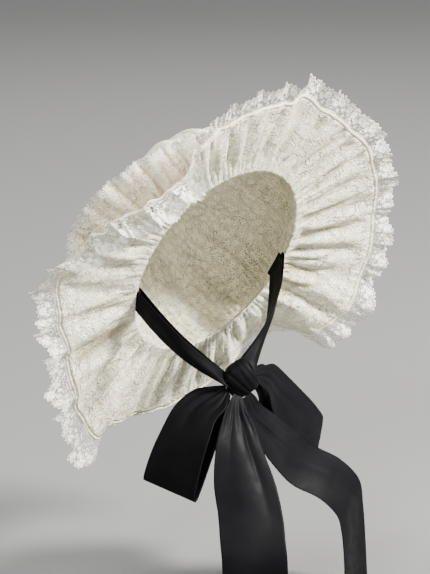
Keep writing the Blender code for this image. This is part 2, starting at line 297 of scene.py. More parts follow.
# Form
def ease(value):
    """Smooth step from 0 to 1."""
    value = np.clip(value, 0, 1)
    return value * value * (3 - 2 * value)


def between(angle, start, rise, stop, fall):
    """1 between two angles, eased over the rise after the first and the fall before the last."""
    angle = np.mod(angle, 360)
    return ease((angle - start) / rise) * ease((stop - angle) / fall)


def read_round(table, angle, column):
    """Values of a column at angles, eased between the rows on either side."""
    starts = np.array([row.angle for row in table], dtype=float)
    values = np.array([getattr(row, column) for row in table], dtype=float)
    angle = np.mod(angle, 360)
    index = np.searchsorted(starts, angle, side="right") - 1
    after = (index + 1) % len(table)
    ends = np.where(after == 0, 360, starts[after])
    share = ease((angle - starts[index]) / (ends - starts[index]))
    return values[index] * (1 - share) + values[after] * share


def sheet_grid(count, columns, rows):
    """Places round the hat and shares down a sheet, as two grids."""
    return np.meshgrid(np.linspace(0, count, columns, endpoint=False), np.linspace(0, 1, rows))


def uneven(count, index):
    """Angle of a column that may lie between two whole ones."""
    turn = math.tau * index / count
    return np.degrees(turn + 0.028 * np.sin(3 * turn + 0.7) + 0.014 * np.sin(7 * turn + 2.1))


def fold(index):
    """Rise and fall of a fold over four columns."""
    return np.sin(index * math.pi / 2)


def knife(index):
    """Fold over four columns with straight sides and sharp ends."""
    wave = fold(index)
    return 0.25 * wave + 0.75 * np.arcsin(0.985 * wave) / 1.4


def vary(index, count, speed, amount):
    """Change from fold to fold, eased between their middles."""
    folds = count // 4
    place = index / 4 - 0.5
    first = np.floor(place)
    share = ease(place - first)
    low, high = (np.sin(speed * np.mod(number, folds) + 0.9) for number in (first, first + 1))
    return 1 + amount * (low * (1 - share) + high * share)


def waves(place, seed, sizes, period):
    """Smooth random wave along a closed length, as a sum of sines with whole turns."""
    rng = np.random.default_rng(seed)
    total = np.zeros_like(place)
    for size in sizes:
        for step in range(3):
            turns = max(1, round(period / size * (1 + 0.22 * step)))
            total = total + np.sin(math.tau * turns * place / period + rng.uniform(0, math.tau))
    return total / (3 * len(sizes))


def ring_point(angle, out, back):
    """Points beside the opening: out from its edge and back from its plane."""
    turn = np.radians(angle)
    side = (OPEN_HALF_WIDTH + out) * np.sin(turn)
    rise = OPEN_RISE + (OPEN_HALF_HEIGHT + out) * np.cos(turn)
    side, rise, back = np.broadcast_arrays(side, rise, back)
    return side[..., None] * PLANE_SIDE + rise[..., None] * PLANE_UP + back[..., None] * PLANE_BACK


def brim_point(angle, out):
    """Points of the smooth brim, before its gathers."""
    lean = np.radians(read_round(BRIM, angle, "lean"))
    past = np.maximum(out - SEAM_BAND, 0)
    leaning = np.where(past < LEAN_RAMP, past * past / (2 * LEAN_RAMP), past - LEAN_RAMP / 2)
    return ring_point(angle, out - (1 - np.cos(lean)) * leaning, np.sin(lean) * leaning)


def turned(angle, lean):
    """Directions that lean back from the outward one, and the normals behind them."""
    turn, lean = np.radians(angle)[..., None], np.radians(lean)[..., None]
    out = np.sin(turn) * PLANE_SIDE + np.cos(turn) * PLANE_UP
    along = out * np.cos(lean) + PLANE_BACK * np.sin(lean)
    return along, PLANE_BACK * np.cos(lean) - out * np.sin(lean)


def unit(vectors):
    """Vectors of length one."""
    return vectors / np.maximum(np.linalg.norm(vectors, axis=-1, keepdims=True), 1e-9)


def run_length(points):
    """Length along a line of points, at each of them."""
    return np.concatenate(([0], np.cumsum(np.linalg.norm(np.diff(points, axis=0), axis=1))))


def normals_of(grid):
    """Unit normals of a grid of points."""
    return unit(np.cross(np.gradient(grid, axis=0), np.gradient(grid, axis=1)))


def along_table(table, place):
    """Rows of a table read between its rows, with Catmull-Rom steps."""
    table = np.asarray(table, dtype=float)
    last = len(table) - 1
    place = np.clip(place, 0, last)
    at = np.clip(np.floor(place).astype(int), 0, last - 1)
    part = (place - at)[:, None]
    before, start = table[np.maximum(at - 1, 0)], table[at]
    end, after = table[at + 1], table[np.minimum(at + 2, last)]
    bend = 2 * before - 5 * start + 4 * end - after + part * (3 * (start - end) + after - before)
    return start + 0.5 * part * (end - before + part * bend)


# Creases
Crease = namedtuple("Crease", "angle start length depth width bend")


def creases_round(count, seed, starts, lengths, depths, widths, bend):
    """Uneven row of creases round the hat."""
    rng = np.random.default_rng(seed)
    spans = (starts, lengths, depths, widths, (-bend, bend))
    made = []
    for number in range(count):
        angle = (number + rng.uniform(-0.42, 0.42)) * 360 / count
        made.append(Crease(angle, *(rng.uniform(*span) for span in spans)))
    return made


def crease_depth(creases, angle, out, radius):
    """Depth of the creases at points of a sheet that spreads out from the opening."""
    depth = np.zeros_like(out)
    for crease in creases:
        middle = crease.angle + crease.bend * (out / 100) ** 2
        aside = (np.mod(angle - middle + 180, 360) - 180) * math.pi / 180 * radius
        share = (out - crease.start) / crease.length
        reach = ease(share * 6 + 0.5) * ease((1 - share) * 2.2)
        wide = crease.width * (0.75 + 0.9 * np.clip(share, 0, 1))
        depth = depth + crease.depth * reach * np.exp(-((aside / wide) ** 2))
    return depth


# Meshes
def mesh_object(name, points, faces, material, flat=None, marks=None):
    """Object from points in millimetres, with flat places by face corner and named point values."""
    mesh = bpy.data.meshes.new(name)
    points = points.reshape(-1, 3)
    mesh.vertices.add(len(points))
    mesh.vertices.foreach_set("co", (points * MM).reshape(-1))
    mesh.loops.add(faces.size)
    mesh.loops.foreach_set("vertex_index", faces.reshape(-1).astype(np.int32))
    mesh.polygons.add(len(faces))
    mesh.polygons.foreach_set("loop_start", np.arange(0, faces.size, faces.shape[1], dtype=np.int32))
    mesh.polygons.foreach_set("use_smooth", np.ones(len(faces), dtype=bool))
    mesh.update(calc_edges=True)
    mesh.validate()
    if flat is not None:
        layer = mesh.uv_layers.new(name="cloth")
        layer.data.foreach_set("uv", (flat * MM).reshape(-1).astype(np.float32))
    for title, values in (marks or {}).items():
        mark = mesh.attributes.new(title, "FLOAT", "POINT")
        mark.data.foreach_set("value", np.asarray(values, dtype=np.float32).reshape(-1))
    mesh.materials.append(material)
    made = bpy.data.objects.new(name, mesh)
    bpy.context.scene.collection.objects.link(made)
    return made


def grid_object(name, grid, flat_along, flat_down, closed, material, wall=0, marks=None):
    """Object from a grid of points; the flat sizes are given by column and by row."""
    rows, columns = grid.shape[:2]
    if closed:
        flat_along = np.append(flat_along, 2 * flat_along[-1] - flat_along[-2])
    row, column = np.indices((rows - 1, columns if closed else columns - 1)).reshape(2, -1)
    corners = [(row, column), (row, column + 1), (row + 1, column + 1), (row + 1, column)]
    faces = np.stack([down * columns + across % columns for down, across in corners], axis=1)
    flat = np.stack([[flat_along[across], flat_down[down]] for down, across in corners])
    made = mesh_object(name, grid, faces, material, flat.transpose(2, 0, 1), marks)
    if wall:
        thicken = made.modifiers.new("wall", "SOLIDIFY")
        thicken.thickness = wall * MM
        thicken.offset = 0
    return made


def cut_mesh(field):
    """Triangles of a grid where a field is above zero, cut along its zero line.

    Each corner is a pair of grid points: the same one twice, or the two that a cut lies
    between. The function that comes back with them carries grid values to the corners.
    """
    rows, columns = field.shape
    row, column = np.indices((rows - 1, columns - 1)).reshape(2, -1)
    first = row * columns + column
    second, third, fourth = first + 1, first + columns + 1, first + columns
    flip = ((row + column) % 2 == 0)[:, None]
    one = np.where(flip, np.stack([first, second, third], 1), np.stack([first, second, fourth], 1))
    two = np.where(flip, np.stack([first, third, fourth], 1), np.stack([second, third, fourth], 1))
    triangles = np.concatenate([one, two])
    value = field.reshape(-1)
    inside = value[triangles] > 0
    pairs = [np.repeat(triangles[inside.all(axis=1)], 2, axis=1)]
    for turn in range(3):
        corner, within = np.roll(triangles, -turn, axis=1), np.roll(inside, -turn, axis=1)
        single = within[:, 0] & ~within[:, 1] & ~within[:, 2]
        double = within[:, 0] & within[:, 1] & ~within[:, 2]
        pairs.append(corner[single][:, (0, 0, 0, 1, 0, 2)])
        pairs.append(corner[double][:, (0, 0, 1, 1, 1, 2)])
        pairs.append(corner[double][:, (0, 0, 1, 2, 0, 2)])
    pairs = np.sort(np.concatenate(pairs).reshape(-1, 2), axis=1)
    keys, faces = np.unique(pairs[:, 0] * value.size + pairs[:, 1], return_inverse=True)
    low, high = keys // value.size, keys % value.size
    share = value[low] / np.where(low == high, 1, value[low] - value[high])

    def carry(values):
        """Values at the corners."""
        values = values.reshape(value.size, -1)
        return values[low] + (values[high] - values[low]) * share[:, None]

    return faces.reshape(-1, 3), carry


# Materials
class Surface:
    """A node material under construction."""

    def __init__(self, name, shading):
        self.material = bpy.data.materials.new(name)
        self.material.use_nodes = True
        self.tree = self.material.node_tree
        self.shader = self.tree.nodes["Principled BSDF"]
        for title, value in shading.items():
            self.shader.inputs[title].default_value = value
        self.flat = self.add("UVMap", uv_map="cloth").outputs["UV"]

    def add(self, kind, ins=None, **settings):
        """New shader node; ins gives values or sockets by name or number."""
        node = self.tree.nodes.new("ShaderNode" + kind)
        for name, value in settings.items():
            setattr(node, name, value)
        for name, value in (ins or {}).items():
            if isinstance(value, bpy.types.NodeSocket):
                self.tree.links.new(value, node.inputs[name])
            else:
                node.inputs[name].default_value = value
        return node

    def math(self, operation, first, second=0, third=0):
        """Result of a Math node."""
        return self.add("Math", {0: first, 1: second, 2: third}, operation=operation).outputs[0]

    def vector(self, operation, ins):
        """Result of a Vector Math node."""
        return self.add("VectorMath", ins, operation=operation).outputs[0]

    def noise(self, size, detail=2, rough=0.5, distort=0):
        """Noise whose features are about a size in millimetres across."""
        ins = {"Scale": 1 / (size * MM), "Detail": detail, "Roughness": rough, "Distortion": distort}
        return self.add("TexNoise", {"Vector": self.flat, **ins}).outputs["Fac"]

    def cells(self, place, size, randomness, feature="F1"):
        """Voronoi cells of a size in millimetres."""
        ins = {"Vector": place, "Scale": 1 / (size * MM), "Randomness": randomness}
        return self.add("TexVoronoi", ins, voronoi_dimensions="2D", feature=feature).outputs

    def bands(self, scale, distort, direction):
        """Bands of thread."""
        ins = {"Vector": self.flat, "Scale": scale, "Distortion": distort}
        return self.add("TexWave", ins, bands_direction=direction).outputs["Fac"]

    def spread(self, value, low, high, to_low=0, to_high=1):
        """Value mapped smoothly from one range to another."""
        node = self.add("MapRange", {0: value, 1: low, 2: high, 3: to_low, 4: to_high})
        node.interpolation_type = "SMOOTHSTEP"
        return node.outputs[0]

    def blend(self, share, first, second):
        """Mix of two colours."""
        return self.add("Mix", {0: share, 6: first, 7: second}, data_type="RGBA").outputs[2]

    def mark(self, name):
        """Named point value."""
        return self.add("Attribute", attribute_name=name).outputs["Fac"]

    def relief(self, height, depth, strength, under=None):
        """Bump of a depth in millimetres."""
        ins = {"Height": height, "Distance": depth * MM, "Strength": strength}
        if under is not None:
            ins["Normal"] = under
        return self.add("Bump", ins).outputs["Normal"]

    def weave(self, pitch, angle=0):
        """Over and under of two sets of threads."""
        turn = self.add("VectorRotate", {"Vector": self.flat, "Angle": math.radians(angle)})
        ins = {"Vector": turn.outputs[0], "Scale": 1 / (pitch * MM) / math.tau * 2, "Distortion": 0.6}
        threads = [self.add("TexWave", ins, bands_direction=way).outputs["Fac"] for way in "XY"]
        return self.math("MULTIPLY", *threads)

    def finish(self, colour, normal=None, roughness=None):
        """Join the results to the shader."""
        for value, name in ((colour, "Base Color"), (normal, "Normal"), (roughness, "Roughness")):
            if value is not None:
                self.tree.links.new(value, self.shader.inputs[name])
        return self.material


def wandering(surface, place, scale, amount):
    """Places shifted a little by noise."""
    wobble = surface.add("TexNoise", {"Vector": place, "Scale": scale, "Detail": 1})
    offset = surface.vector("SCALE", {0: wobble.outputs["Color"], 3: amount})
    return surface.vector("ADD", {0: place, 1: offset})


def blossoms(surface, size, petals, shift):
    """Raised flowers scattered in cells: 1 on the petals and 0 between."""
    shifted = surface.vector("ADD", {0: surface.flat, 1: shift})
    place = wandering(surface, shifted, 160, 0.0014)
    cells = surface.cells(place, size, 0.75)
    away = surface.vector("SUBTRACT", {0: place, 1: cells["Position"]})
    parts = surface.add("SeparateXYZ", {0: away}).outputs
    bearing = surface.math("ARCTAN2", parts[1], parts[0])
    tone = surface.add("SeparateColor", {0: cells["Color"]}).outputs[0]
    spin = surface.math("MULTIPLY_ADD", tone, 6.28, surface.math("MULTIPLY", bearing, petals))
    lobe = surface.math("MULTIPLY_ADD", surface.math("COSINE", spin), 0.26, 0.74)
    reach = surface.math("DIVIDE", cells["Distance"], surface.math("MULTIPLY", lobe, 0.46))
    heart = surface.spread(cells["Distance"], 0.05, 0.1)
    return surface.math("MULTIPLY", surface.spread(reach, 1.08, 0.86), heart)


def vines(surface, size, width):
    """Fine curling lines between the flowers."""
    place = wandering(surface, surface.flat, 110, 0.004)
    lines = surface.cells(place, size, 1, "DISTANCE_TO_EDGE")
    return surface.spread(lines["Distance"], width, width * 0.35)


def jacquard(name, ground, raised, painted_shade, strength):
    """Cotton with raised white flowers, with painted shade laid into its creases and crinkles."""
    sheen = {"Sheen Weight": 0.12, "Sheen Tint": (1, 0.96, 0.88, 1), "Sheen Roughness": 0.45}
    cloth = Surface(name, {"Roughness": 0.78, **sheen})
    flowers = blossoms(cloth, 10.5, 5, (0, 0, 0))
    small = blossoms(cloth, 6.5, 4, (0.031, 0.017, 0))
    lines = vines(cloth, 7.5, 0.07)
    motif = cloth.math("MAXIMUM", flowers, cloth.math("MULTIPLY", small, 0.6))
    motif = cloth.math("MAXIMUM", motif, cloth.math("MULTIPLY", lines, 0.8))
    cloudy = cloth.spread(cloth.noise(38, 3, 0.6), 0.3, 0.7)
    speck = cloth.spread(cloth.noise(1.7, 2, 0.6), 0.42, 0.66)
    base = cloth.blend(cloudy, ground, [part * dim for part, dim in zip(ground, (0.95, 0.94, 0.9, 1))])
    base = cloth.blend(cloth.math("MULTIPLY", speck, 0.38), base, raised)
    base = cloth.blend(cloth.math("MULTIPLY", motif, strength), base, raised)
    ridge = cloth.math("ABSOLUTE", cloth.math("SUBTRACT", cloth.noise(17, 2, 0.55, distort=0.5), 0.5))
    patches = cloth.spread(cloth.noise(25, 1), 0.38, 0.6)
    crinkle = cloth.math("MULTIPLY", cloth.spread(ridge, 0.05, 0), patches)
    # Painted shade: a dark tan laid into the creases marked on the mesh and into the dents of the crinkles.
    crease = cloth.spread(cloth.mark("crease"), 0.05, 1)
    base = cloth.blend(cloth.math("MULTIPLY", crease, 0.66), base, painted_shade)
    base = cloth.blend(cloth.math("MULTIPLY", crinkle, 0.2), base, painted_shade)
    normal = cloth.relief(cloth.weave(0.9), 0.1, 0.5)
    normal = cloth.relief(cloth.math("MULTIPLY", crinkle, -1), 1.6, 0.9, normal)
    normal = cloth.relief(speck, 0.36, 0.7, normal)
    normal = cloth.relief(motif, 1.8, 1, normal)
    return cloth.finish(base, normal, cloth.spread(motif, 0, 1, 0.86, 0.62))


def lace_thread():
    """White lace thread, with painted shade laid on the net between its raised parts."""
    sheen = {"Sheen Weight": 0.15, "Sheen Tint": (1, 0.98, 0.94, 1), "Sheen Roughness": 0.45}
    cloth = Surface("lace_thread", {"Roughness": 0.8, **sheen})
    relief = cloth.mark("relief")
    cloudy = cloth.spread(cloth.noise(26, 2), 0.3, 0.7)
    base = cloth.blend(cloudy, (0.97, 0.96, 0.89, 1), (0.94, 0.915, 0.79, 1))
    # Painted shade: where the relief is low, in the net and bars, the thread is laid darker; the raised
    # outlines, stems and flowers stay light.
    base = cloth.blend(cloth.spread(relief, 0, 0.5), (0.6, 0.575, 0.47, 1), base)
    normal = cloth.relief(cloth.bands(420, 3, "DIAGONAL"), 0.12, 0.5)
    return cloth.finish(base, cloth.relief(relief, 0.9, 0.8, normal))


def binding():
    """Cream binding over the corded edge."""
    sheen = {"Sheen Weight": 0.15, "Sheen Roughness": 0.45}
    cloth = Surface("cream_binding_cloth", {"Roughness": 0.55, **sheen})
    pucker = cloth.noise(2.2, 2)
    base = cloth.blend(cloth.spread(pucker, 0.3, 0.7), (0.87, 0.8, 0.58, 1), (0.7, 0.61, 0.4, 1))
    normal = cloth.relief(cloth.weave(0.6, 45), 0.08, 0.5)
    return cloth.finish(base, cloth.relief(pucker, 0.5, 0.6, normal))


def satin():
    """Black ribbon with a fine rib and a faint shine."""
    cloth = Surface("satin_ribbon", {"IOR": 1.2, "Specular IOR Level": 0.22})
    cloudy = cloth.spread(cloth.noise(30, 3), 0.3, 0.7)
    base = cloth.blend(cloudy, (0.0026, 0.0025, 0.003, 1), (0.0038, 0.0037, 0.0044, 1))
    normal = cloth.relief(cloth.bands(520, 1, "Y"), 0.05, 0.35)
    normal = cloth.relief(cloth.bands(260, 2, "X"), 0.05, 0.3, normal)
    normal = cloth.relief(cloth.noise(9, 2), 0.5, 0.25, normal)
    return cloth.finish(base, normal, cloth.spread(cloth.noise(14, 3), 0.3, 0.7, 0.44, 0.58))


def plain_floor():
    """Pale backdrop paper."""
    paper = Surface("floor_paper", {"Roughness": 0.9})
    noise = paper.add("TexNoise", {"Scale": 3}).outputs["Fac"]
    return paper.finish(paper.blend(noise, (0.15, 0.149, 0.147, 1), (0.158, 0.157, 0.154, 1)))


# Brim
SEAM_CREASES = creases_round(132, 5, (-2, 5), (22, 78), (0.6, 1.7), (1.1, 2.2), 5)
LONG_CREASES = creases_round(46, 8, (0, 8), (70, 120), (0.9, 2.2), (2, 3.6), 7)
HEM_CREASES = creases_round(128, 21, (-2, 2), (9, 34), (0.4, 1.1), (1.1, 2.2), 2)
DEEP_CREASES = [Crease(*row) for row in (
    (98, 4, 80, 2, 3, 3),
    (118, 6, 92, 4.6, 5.4, 1),
    (121, 12, 80, 2.6, 2, 2),
    (131, 4, 90, 2, 3, -5),
    (142, 4, 95, 2.2, 3.2, -7),
    (240, 0, 66, 2.2, 2.6, 7),
    (246, 0, 84, 3, 3, 9),
    (252, 0, 88, 3, 3, 9),
    (258, 0, 80, 2.4, 2.6, 8),
    (271, 0, 98, 2.2, 3, 2),
    (285, 0, 95, 1.8, 3, 0),
    (305, 0, 70, 1.8, 3, -3),
    (322, 0, 62, 1.8, 2.6, -4),
)]


def edge_wobble(angle):
    """How far the gathered edge of the brim wanders back and forth."""
    strength = 1.3 + 2.3 * between(angle, 28, 16, 96, 18)
    return 1.7 * strength * waves(angle / 360 * EDGE_LENGTH, 71, (26, 40, 62), EDGE_LENGTH)


def edge_frame(index):
    """Points on the brim's edge, directions on from it, and the normals behind it."""
    angle = uneven(COLUMNS, index)
    sides = []
    for step in (-1, 0, 1):
        beside = uneven(COLUMNS, index + step)
        sides.append(brim_point(beside, read_round(BRIM, beside, "width")))
    along, behind = turned(angle, read_round(BRIM, angle, "lean"))
    run = unit(sides[2] - sides[0])
    across = unit(along - run * np.sum(along * run, axis=-1, keepdims=True))
    return sides[1] + behind * edge_wobble(angle)[..., None], across, behind


def make_brim(material):
    """Gathered brim cloth."""
    index, share = sheet_grid(COLUMNS, 960, 41)
    angle = uneven(COLUMNS, index)
    width = read_round(BRIM, angle, "width")
    out = width * share
    rise = ease((out - SEAM_BAND) / 14) * ease((width - out) / GATHER_FADE)
    depth = GATHER_DEPTH * rise * fold(index) * vary(index, COLUMNS, 1.9, 0.35)
    radius = 104 + out
    near = between(angle, 56, 20, 176, 20)
    from_seam = crease_depth(SEAM_CREASES + LONG_CREASES, angle, out, radius) * (1 - 0.55 * near)
    from_seam = from_seam + crease_depth(DEEP_CREASES, angle, out, radius)
    hem = crease_depth(HEM_CREASES, angle, width - out, radius)
    hollow = np.minimum(from_seam, 5.4) * ease((out + 1) / 3) * ease((width - out) / 10)
    hollow = hollow + hem * ease((width - out) / 4)
    hollow = np.where(out < 16, np.minimum(hollow, 1.5 + 2.7 * ease((out - 6) / 10)), hollow)
    place = angle / 360 * INNER_LENGTH
    puff = (0.9 + 1.3 * near) * waves(place + 0.18 * out, 3, (26, 44), INNER_LENGTH)
    puff = puff + 0.45 * np.sin(out / 9 + 3 * waves(place, 4, (60,), INNER_LENGTH))
    forward = 0.5 + ease((18 - out) / 14)
    wobble = edge_wobble(angle) * ease((share - 0.35) / 0.65)
    behind = turned(angle, read_round(BRIM, angle, "lean") * ease(out / 30))[1]
    points = brim_point(angle, out) + behind * (depth + hollow - forward + puff * rise + wobble)[..., None]
    along = index[0] / COLUMNS * BRIM_FLAT_LENGTH
    down = share[:, 0] * BRIM_FLAT_WIDTH
    # The crease mark follows the depth of the folds and sets how much painted shade is laid into them.
    marks = {"crease": np.clip(hollow / 3.6, 0, 1)}
    return grid_object("brim_cloth", points, along, down, True, material, 1.4, marks)


def make_cord(material):
    """Binding over the cord: a puckered round edge, thinner on the near side."""
    index = np.linspace(0, COLUMNS, 1152, endpoint=False)
    edge, along, behind = edge_frame(index)
    angle = uneven(COLUMNS, index)
    wander = waves(index / COLUMNS * EDGE_LENGTH, 63, (22, 34), EDGE_LENGTH)
    middle = edge + along * (GAP + CORD_RADIUS) + behind * (1.1 * wander)[:, None]
    length = run_length(middle)
    spin = np.linspace(0, math.tau, 13)[:, None]
    pucker = np.sin(length * 1.1 + 1.6 * np.sin(spin) + 1.9 * np.sin(length * 0.19))
    lump = waves(length / length[-1] * EDGE_LENGTH, 61, (9, 15), EDGE_LENGTH)
    near = between(angle, 30, 20, 185, 20)
    radius = CORD_RADIUS - 0.15 - 0.75 * near + 0.2 * pucker + 0.45 * lump
    ring = np.cos(spin)[..., None] * along + np.sin(spin)[..., None] * behind
    flat = np.linspace(0, 12.5, 13)
    return grid_object("brim_cord_binding", middle + ring * radius[..., None], length, flat, True, material)


# Lace
def lace_surface(index, share):
    """Points of the lace ruffle beyond the cord, and its width."""
    angle = uneven(COLUMNS, index)
    edge, along = edge_frame(index)[:2]
    lean = read_round(BRIM, angle, "lean")
    lace_lean = read_round(BRIM, angle, "lace_lean")
    direction, behind = turned(angle, lean + (lace_lean - lean) * (0.35 + 0.65 * ease(share / 0.5)))
    clear = LACE_TURN_CLEAR * np.minimum(1, np.abs(lace_lean - lean) / 50)
    clear = clear - LACE_TUCK * between(angle, 30, 20, 185, 20)
    start = edge + along * (GAP + 2 * CORD_RADIUS + clear)[..., None]
    near = between(angle, 84, 14, 172, 14)
    top = between(angle + 25, 0, 20, 64, 16)
    roll = between(angle, 38, 8, 92, 10)
    fans = knife(1.45 * index + 0.8) * near
    width = read_round(BRIM, angle, "lace_width") * (vary(index, COLUMNS, 2.7, 0.12) + 0.13 * fans)
    sharp = knife(index) + 0.3 * knife(3 * index + 0.4) * vary(index, COLUMNS, 4.1, 0.8)
    wave = FLUTE_DEPTH * (1 - 0.55 * top + 0.75 * roll) * sharp * vary(index, COLUMNS, 1.3, 0.4)
    wave = share * (wave + 4 * fans)
    fine = 0.7 * ease(share * 3) * fold(5 * index + 1.3 * fold(index * 0.5))
    sway = (0.14 + 0.08 * near) * share * width * knife(index + 1) * vary(index, COLUMNS, 3.3, 0.4)
    reach = direction * (width * share)[..., None] + behind * (wave + fine)[..., None]
    return start + reach + np.cross(direction, behind) * sway[..., None], width


def petals(along, down, middle, size, count, pitch):
    """Above zero on a flower with open slits between its petals."""
    aside = np.mod(along - middle[0] + pitch / 2, pitch) - pitch / 2
    down = down - middle[1]
    radius = np.hypot(aside, down)
    turn = count * np.arctan2(down, aside) / 2
    body = size * (0.66 + 0.34 * np.abs(np.cos(turn))) - radius
    slit = radius * (0.3 - 1.2 * np.abs(np.sin(turn)))
    body = np.minimum(body, np.where(radius > 0.3 * size, 0.12 - slit, body))
    eye = np.abs(radius - 0.24 * size) - 0.16 * size
    return np.minimum(body, np.where(radius < 0.3 * size, eye * 0.9 + 0.42, body))


def lace_field(along, down, width, pitch):
    """Above zero where the lace has thread, down from its sewn edge; and how raised it is."""
    up = width - down
    arch = 2.6 * (1 - np.abs(np.sin(math.pi * along / pitch)) ** 0.8)
    inside = up - arch - 0.95 * (1 + np.cos(math.tau * along / (pitch / 3)))
    rim = 0.5 - np.abs(inside - 0.5)
    inner_rim = 0.4 - np.abs(inside - 3.3)
    bars = 0.36 - np.abs(np.mod(along, pitch / 4) - pitch / 8)
    bars = np.where((inside > 0.9) & (inside < 3.1), bars, -9)
    flowers = [
        petals(along, up, (pitch / 2, 8.2), 4.9, 6, pitch),
        petals(along, up, (0, 13.2), 3.6, 5, pitch),
        petals(along, up, (pitch / 2, 17.6), 2.5, 5, pitch),
    ]
    stem = 0.45 - np.abs(up - 11.4 - 2.4 * np.cos(math.tau * along / pitch)) / 1.25
    step = pitch / 4
    high = step * 0.866
    lane = np.round(down / high)
    shift = 0.22 * step * np.sin(2.3 * lane + math.tau * np.round(along / step) / 4)
    aside = np.mod(along + step * 0.5 * np.mod(lane, 2) + step / 2, step) - step / 2
    net = np.hypot(aside, down - lane * high - 0.5 * shift) - 0.385 * step
    thread = np.maximum.reduce([rim, inner_rim, bars, *flowers, stem, net, 1.5 - down])
    relief = np.maximum.reduce([rim, stem, *(flower * 0.5 for flower in flowers)])
    return np.minimum(thread, inside), np.clip(relief, 0, 0.6) / 0.6


def make_lace(name, surface, count, material, cell, rows, pitch):
    """Lace with real holes over a fluted surface; its length is taken near its edge."""
    index = np.linspace(0, count, count * 24 + 1)
    length = run_length(surface(index, np.full_like(index, 0.72))[0])
    total = round(length[-1] / pitch) * pitch
    along = np.linspace(0, total, round(length[-1] / cell) + 1)
    index = np.interp(along / total * length[-1], length, index)
    index, share = np.meshgrid(index, np.linspace(0, 1, rows + 1))
    points, width = surface(index, share)
    along, down = np.broadcast_to(along, share.shape), share * width
    field, relief = lace_field(along, down, width, pitch)
    faces, carry = cut_mesh(field)
    flat = carry(np.stack([along, down], axis=-1))[faces]
    return mesh_object(name, carry(points), faces, material, flat, {"relief": carry(relief)})


def make_ruffle(material):
    """Lace ruffle beyond the brim's cord."""
    return make_lace("brim_lace_ruffle", lace_surface, COLUMNS, material, cell=0.82, rows=34, pitch=13)


# Crown and frill
CROWN_CREASES = creases_round(96, 31, (-2, 6), (40, 150), (1.2, 3.4), (1.4, 3), 4)
FRILL_CREASES = creases_round(64, 41, (-3, 4), (24, 70), (1.2, 3), (1.4, 2.6), 12)


def make_crown(material):
    """Pleated crown, closed at the middle of the back."""
    path = along_table(CROWN, np.linspace(0, len(CROWN) - 1, 60))
    length = run_length(path[:, :2])
    out, back, pleat = path.T[..., None]
    index, down = np.meshgrid(np.linspace(0, CROWN_COLUMNS, 480, endpoint=False), length)
    angle = uneven(CROWN_COLUMNS, index)
    swell = CROWN_PLEAT * np.clip(pleat, 0, 1) * fold(index) * vary(index, CROWN_COLUMNS, 2.2, 0.3)
    crease = crease_depth(CROWN_CREASES, angle, down, np.maximum(106 + out, 8))
    crease = crease * ease(down / 10) * ease((OPEN_HALF_WIDTH + out) / 40)
    points = ring_point(angle, out + swell + 0.6 - 0.8 * crease, back)
    last = points[-1:]
    middle = last.mean(axis=1, keepdims=True)
    points = np.concatenate([points, *(middle + (last - middle) * share for share in (0.5, 0.02))])
    crease = np.concatenate([crease, crease[-1:], crease[-1:]])
    length = np.append(length, (length[-1] + 4, length[-1] + 8))
    along = index[0] / CROWN_COLUMNS * INNER_LENGTH
    # The crease mark follows the depth of the folds and sets how much painted shade is laid into them.
    marks = {"crease": np.clip(crease / 9, 0, 1)}
    return grid_object("crown_cloth", points, along, length, True, material, 1.3, marks)


def frill_surface(index, share, extra):
    """Points of the frill, a share of the way from its seat plus a length, and the painted shade of its
    creases and fold valleys.
    """
    angle = uneven(FRILL_COLUMNS, index)
    edge_out = read_round(FRILL, angle, "out") - FRILL_SEAT
    edge_back = read_round(FRILL, angle, "back") - FRILL_SEAT_BACK
    length = np.hypot(edge_out, edge_back)
    run_out, run_back = edge_out / length, edge_back / length
    reach = length * share + extra
    place = angle / 360 * FRILL_FLAT_LENGTH
    even = index / FRILL_COLUMNS * FRILL_FLAT_LENGTH
    drift = 0.8 * waves(even + 12 * share, 83, (70, 110), FRILL_FLAT_LENGTH)
    pillow = np.abs(np.sin((index + drift - 3) * math.pi / 4)) ** 0.62
    broad = np.abs(np.sin((index + 1.6 * drift - 2) * math.pi / 8)) ** 0.7
    swell = 1.5 * pillow + 1.5 * broad - 1.7
    flute = FRILL_FLUTE * ease(share) * swell * vary(index, FRILL_COLUMNS, 1.7, 0.45)
    inner = reach / np.maximum(length, 1) * 60
    crease = crease_depth(FRILL_CREASES, angle, inner, 135)
    crease = np.minimum(crease, 4.2) * ease(share * 5) * ease((1.05 - share) * 4)
    swing = 2.2 * waves(place, 82, (60,), FRILL_FLAT_LENGTH)
    lump = waves(place + 30 * share, 81, (30, 46), FRILL_FLAT_LENGTH) * np.sin(3 * share + swing)
    front = FRILL_PUFF * np.sin(math.pi * np.minimum(1, share)) * ease(share * 2)
    front = front + 1.05 * flute - crease + 4.6 * lump * ease(share * 2.5)
    # Painted shade in the valleys between the frill's puffs.
    valley_shade = np.exp(-((pillow / 0.42) ** 2)) * ease(share * 4)
    out = FRILL_SEAT + run_out * reach + run_back * front
    back = FRILL_SEAT_BACK + run_back * reach - run_out * front
    return ring_point(angle, out, back), np.clip(crease / 3.6 + 0.75 * valley_shade, 0, 1)


def make_frill(material):
    """Puffed cotton frill between crown and brim."""
    index, share = sheet_grid(FRILL_COLUMNS, 720, 23)
    # The crease mark carries the painted shade of the frill's creases and valleys.
    points, crease = frill_surface(index, share, -(EDGING_WIDTH - 1) * share)
    along = index[0] / FRILL_COLUMNS * FRILL_FLAT_LENGTH
    down = share[:, 0] * FRILL_FLAT_WIDTH
    return grid_object("crown_frill_cloth", points, along, down, True, material, 1.1, {"crease": crease})


def edging_surface(index, share):
    """Points of the narrow lace, in from the frill's edge, and its width."""
    width = EDGING_WIDTH - 0.5
    return frill_surface(index, np.ones_like(share), (share - 1) * width)[0], np.full_like(share, width)


